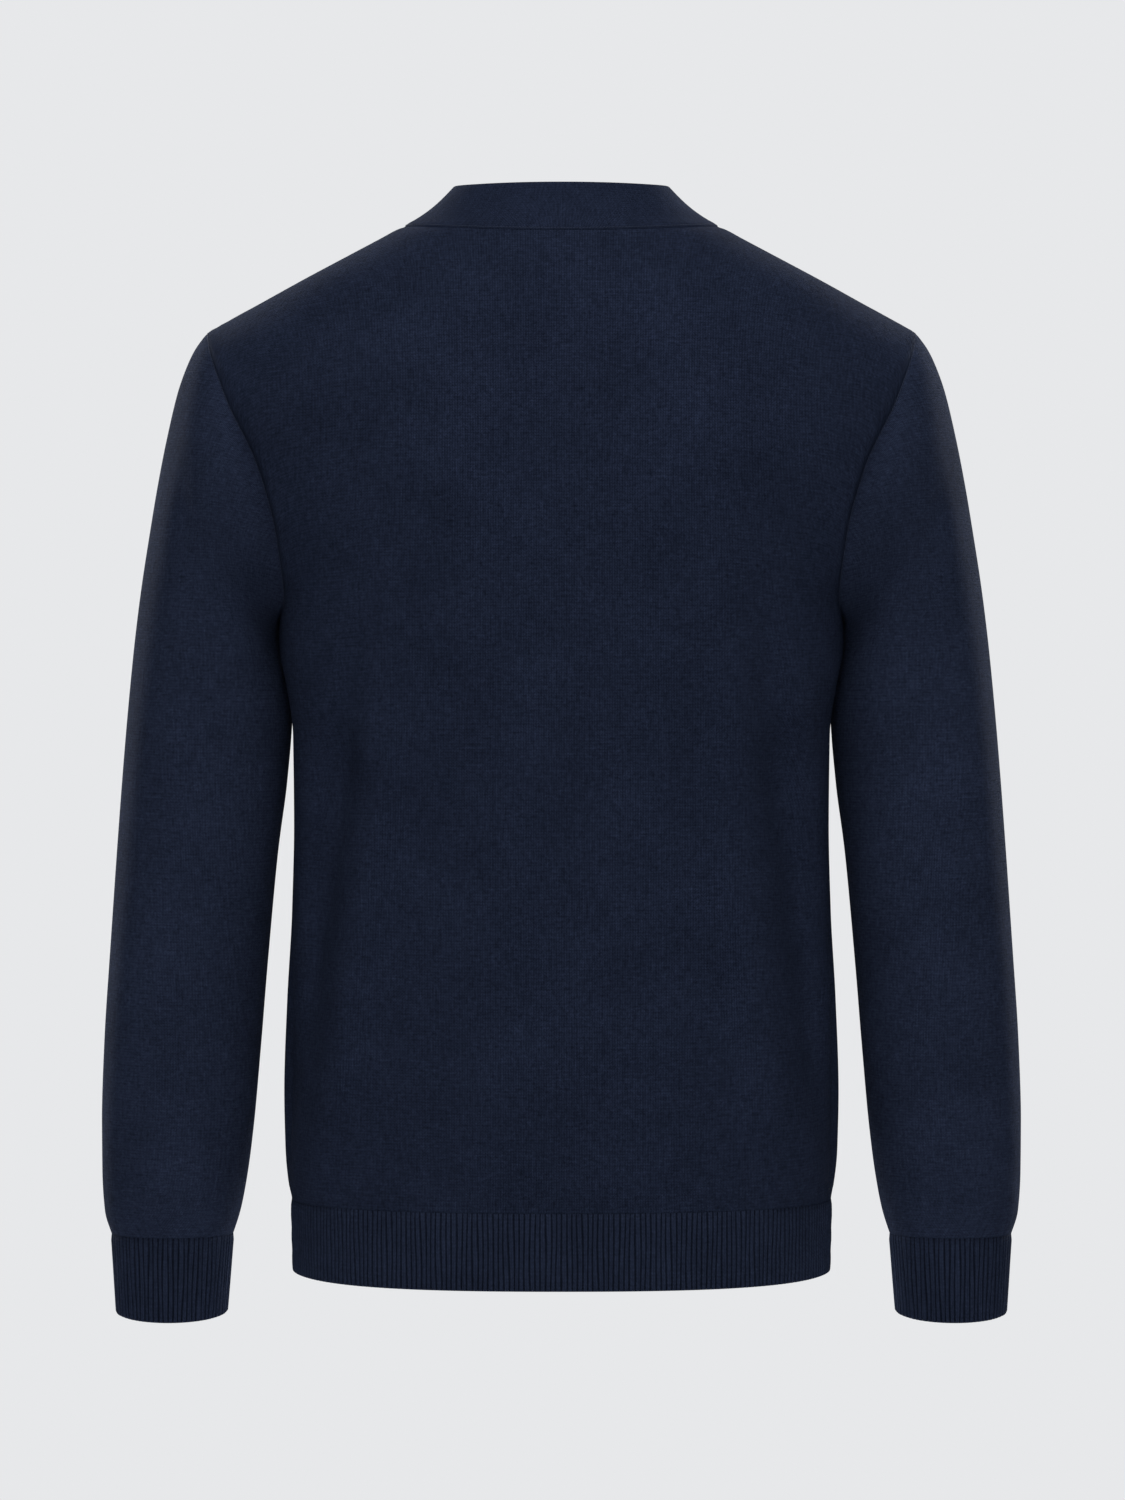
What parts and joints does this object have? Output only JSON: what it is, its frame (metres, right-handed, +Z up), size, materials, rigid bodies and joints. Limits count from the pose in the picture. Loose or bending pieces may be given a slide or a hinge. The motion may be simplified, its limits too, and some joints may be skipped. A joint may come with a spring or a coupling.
{
  "type": "knitted pullover",
  "caption": "Long-sleeved fine-knit pullover with a leaning neckband and ribbed hem and cuffs, filled out as it hangs on a wearer with the arms down.",
  "frame": {"origin": "midway between the two points where a shoulder seam meets the neckband, where the wearer's shoulders hold the garment", "axes": "+Z up towards the neck, +Y out of the back of the garment, +X towards the wearer's left"},
  "size_m": [0.6118, 0.2367, 0.7505],
  "materials": {
    "plain_knit": "matt plain knit, dark navy",
    "band_knit": "matt double knit, dark navy",
    "rib_knit": "matt 1x1 rib, dark navy"
  },
  "bodies": {
    "root": {"back": "plain_knit", "front": "plain_knit", "sleeve_left": "plain_knit", "sleeve_right": "plain_knit", "neckband": "band_knit", "hem_rib_back": "rib_knit", "hem_rib_front": "rib_knit", "cuff_left": "rib_knit", "cuff_right": "rib_knit"}
  },
  "joints": []
}
